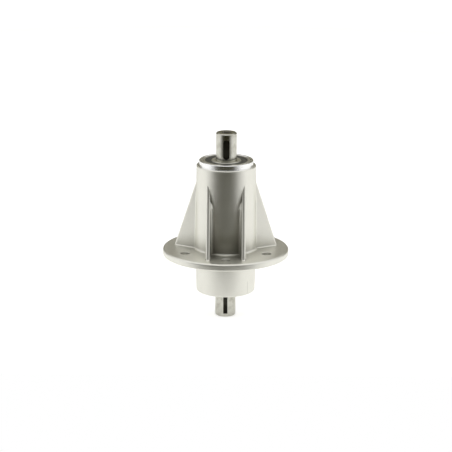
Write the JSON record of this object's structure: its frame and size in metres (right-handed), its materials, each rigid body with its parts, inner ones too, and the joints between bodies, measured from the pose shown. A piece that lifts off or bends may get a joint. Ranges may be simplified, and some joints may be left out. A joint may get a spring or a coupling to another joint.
{
  "type": "mower blade spindle assembly",
  "caption": "Cast aluminium flanged spindle housing with paired ribs and a keyed steel shaft turning in sealed ball bearings, to carry a drive pulley above and a mower blade below.",
  "frame": {"origin": "on the shaft axis, in the plane of the flange's underside, which is the centre of the mounting bolt circle", "axes": "+Z along the shaft towards the pulley end; -Y towards the side that both key slots face at rest"},
  "size_m": [0.1216, 0.1216, 0.182],
  "materials": {
    "cast_aluminium": "as cast, fine grained, machined on its seats",
    "ground_steel": "ground and bright",
    "bearing_steel": "ground and polished",
    "pressed_steel": "pressed sheet",
    "drawn_steel": "drawn tube",
    "seal_rubber": "moulded, matte"
  },
  "bodies": {
    "housing": {"housing": "cast_aluminium", "upper_outer_ring": "bearing_steel", "upper_top_seal": "seal_rubber", "upper_bottom_seal": "seal_rubber", "lower_outer_ring": "bearing_steel", "lower_top_seal": "seal_rubber", "lower_bottom_seal": "seal_rubber"},
    "shaft": {"shaft": "ground_steel", "spacer_sleeve": "drawn_steel", "upper_inner_ring": "bearing_steel", "lower_inner_ring": "bearing_steel"},
    "upper_cage": {"upper_cage_top_half": "pressed_steel", "upper_cage_bottom_half": "pressed_steel", "upper_cage_rivets": "pressed_steel"},
    "upper_ball_1": {"upper_ball_1": "bearing_steel"},
    "upper_ball_2": {"upper_ball_2": "bearing_steel"},
    "upper_ball_3": {"upper_ball_3": "bearing_steel"},
    "upper_ball_4": {"upper_ball_4": "bearing_steel"},
    "upper_ball_5": {"upper_ball_5": "bearing_steel"},
    "upper_ball_6": {"upper_ball_6": "bearing_steel"},
    "upper_ball_7": {"upper_ball_7": "bearing_steel"},
    "upper_ball_8": {"upper_ball_8": "bearing_steel"},
    "lower_cage": {"lower_cage_top_half": "pressed_steel", "lower_cage_bottom_half": "pressed_steel", "lower_cage_rivets": "pressed_steel"},
    "lower_ball_1": {"lower_ball_1": "bearing_steel"},
    "lower_ball_2": {"lower_ball_2": "bearing_steel"},
    "lower_ball_3": {"lower_ball_3": "bearing_steel"},
    "lower_ball_4": {"lower_ball_4": "bearing_steel"},
    "lower_ball_5": {"lower_ball_5": "bearing_steel"},
    "lower_ball_6": {"lower_ball_6": "bearing_steel"},
    "lower_ball_7": {"lower_ball_7": "bearing_steel"},
    "lower_ball_8": {"lower_ball_8": "bearing_steel"}
  },
  "joints": [
    {"name": "shaft_spin", "type": "hinge", "parent": "housing", "child": "shaft", "pos_m": [0, 0, 0], "axis": [0, 0, 1], "continuous": true},
    {"name": "upper_cage_spin", "type": "hinge", "parent": "housing", "child": "upper_cage", "pos_m": [0, 0, 0.0865], "axis": [0, 0, 1], "continuous": true},
    {"name": "upper_ball_1_roll", "type": "hinge", "parent": "upper_cage", "child": "upper_ball_1", "pos_m": [0.01547, 0.00641, 0.0865], "axis": [0, 0, 1], "continuous": true},
    {"name": "upper_ball_2_roll", "type": "hinge", "parent": "upper_cage", "child": "upper_ball_2", "pos_m": [0.00641, 0.01547, 0.0865], "axis": [0, 0, 1], "continuous": true},
    {"name": "upper_ball_3_roll", "type": "hinge", "parent": "upper_cage", "child": "upper_ball_3", "pos_m": [-0.00641, 0.01547, 0.0865], "axis": [0, 0, 1], "continuous": true},
    {"name": "upper_ball_4_roll", "type": "hinge", "parent": "upper_cage", "child": "upper_ball_4", "pos_m": [-0.01547, 0.00641, 0.0865], "axis": [0, 0, 1], "continuous": true},
    {"name": "upper_ball_5_roll", "type": "hinge", "parent": "upper_cage", "child": "upper_ball_5", "pos_m": [-0.01547, -0.00641, 0.0865], "axis": [0, 0, 1], "continuous": true},
    {"name": "upper_ball_6_roll", "type": "hinge", "parent": "upper_cage", "child": "upper_ball_6", "pos_m": [-0.00641, -0.01547, 0.0865], "axis": [0, 0, 1], "continuous": true},
    {"name": "upper_ball_7_roll", "type": "hinge", "parent": "upper_cage", "child": "upper_ball_7", "pos_m": [0.00641, -0.01547, 0.0865], "axis": [0, 0, 1], "continuous": true},
    {"name": "upper_ball_8_roll", "type": "hinge", "parent": "upper_cage", "child": "upper_ball_8", "pos_m": [0.01547, -0.00641, 0.0865], "axis": [0, 0, 1], "continuous": true},
    {"name": "lower_cage_spin", "type": "hinge", "parent": "housing", "child": "lower_cage", "pos_m": [0, 0, -0.0287], "axis": [0, 0, 1], "continuous": true},
    {"name": "lower_ball_1_roll", "type": "hinge", "parent": "lower_cage", "child": "lower_ball_1", "pos_m": [0.01547, 0.00641, -0.0287], "axis": [0, 0, 1], "continuous": true},
    {"name": "lower_ball_2_roll", "type": "hinge", "parent": "lower_cage", "child": "lower_ball_2", "pos_m": [0.00641, 0.01547, -0.0287], "axis": [0, 0, 1], "continuous": true},
    {"name": "lower_ball_3_roll", "type": "hinge", "parent": "lower_cage", "child": "lower_ball_3", "pos_m": [-0.00641, 0.01547, -0.0287], "axis": [0, 0, 1], "continuous": true},
    {"name": "lower_ball_4_roll", "type": "hinge", "parent": "lower_cage", "child": "lower_ball_4", "pos_m": [-0.01547, 0.00641, -0.0287], "axis": [0, 0, 1], "continuous": true},
    {"name": "lower_ball_5_roll", "type": "hinge", "parent": "lower_cage", "child": "lower_ball_5", "pos_m": [-0.01547, -0.00641, -0.0287], "axis": [0, 0, 1], "continuous": true},
    {"name": "lower_ball_6_roll", "type": "hinge", "parent": "lower_cage", "child": "lower_ball_6", "pos_m": [-0.00641, -0.01547, -0.0287], "axis": [0, 0, 1], "continuous": true},
    {"name": "lower_ball_7_roll", "type": "hinge", "parent": "lower_cage", "child": "lower_ball_7", "pos_m": [0.00641, -0.01547, -0.0287], "axis": [0, 0, 1], "continuous": true},
    {"name": "lower_ball_8_roll", "type": "hinge", "parent": "lower_cage", "child": "lower_ball_8", "pos_m": [0.01547, -0.00641, -0.0287], "axis": [0, 0, 1], "continuous": true}
  ],
  "couplings": [
    {"joint": "upper_cage_spin", "follows": "shaft_spin", "ratio": 0.38149},
    {"joint": "upper_ball_1_roll", "follows": "shaft_spin", "ratio": -1.9911},
    {"joint": "upper_ball_2_roll", "follows": "shaft_spin", "ratio": -1.9911},
    {"joint": "upper_ball_3_roll", "follows": "shaft_spin", "ratio": -1.9911},
    {"joint": "upper_ball_4_roll", "follows": "shaft_spin", "ratio": -1.9911},
    {"joint": "upper_ball_5_roll", "follows": "shaft_spin", "ratio": -1.9911},
    {"joint": "upper_ball_6_roll", "follows": "shaft_spin", "ratio": -1.9911},
    {"joint": "upper_ball_7_roll", "follows": "shaft_spin", "ratio": -1.9911},
    {"joint": "upper_ball_8_roll", "follows": "shaft_spin", "ratio": -1.9911},
    {"joint": "lower_cage_spin", "follows": "shaft_spin", "ratio": 0.38149},
    {"joint": "lower_ball_1_roll", "follows": "shaft_spin", "ratio": -1.9911},
    {"joint": "lower_ball_2_roll", "follows": "shaft_spin", "ratio": -1.9911},
    {"joint": "lower_ball_3_roll", "follows": "shaft_spin", "ratio": -1.9911},
    {"joint": "lower_ball_4_roll", "follows": "shaft_spin", "ratio": -1.9911},
    {"joint": "lower_ball_5_roll", "follows": "shaft_spin", "ratio": -1.9911},
    {"joint": "lower_ball_6_roll", "follows": "shaft_spin", "ratio": -1.9911},
    {"joint": "lower_ball_7_roll", "follows": "shaft_spin", "ratio": -1.9911},
    {"joint": "lower_ball_8_roll", "follows": "shaft_spin", "ratio": -1.9911}
  ]
}
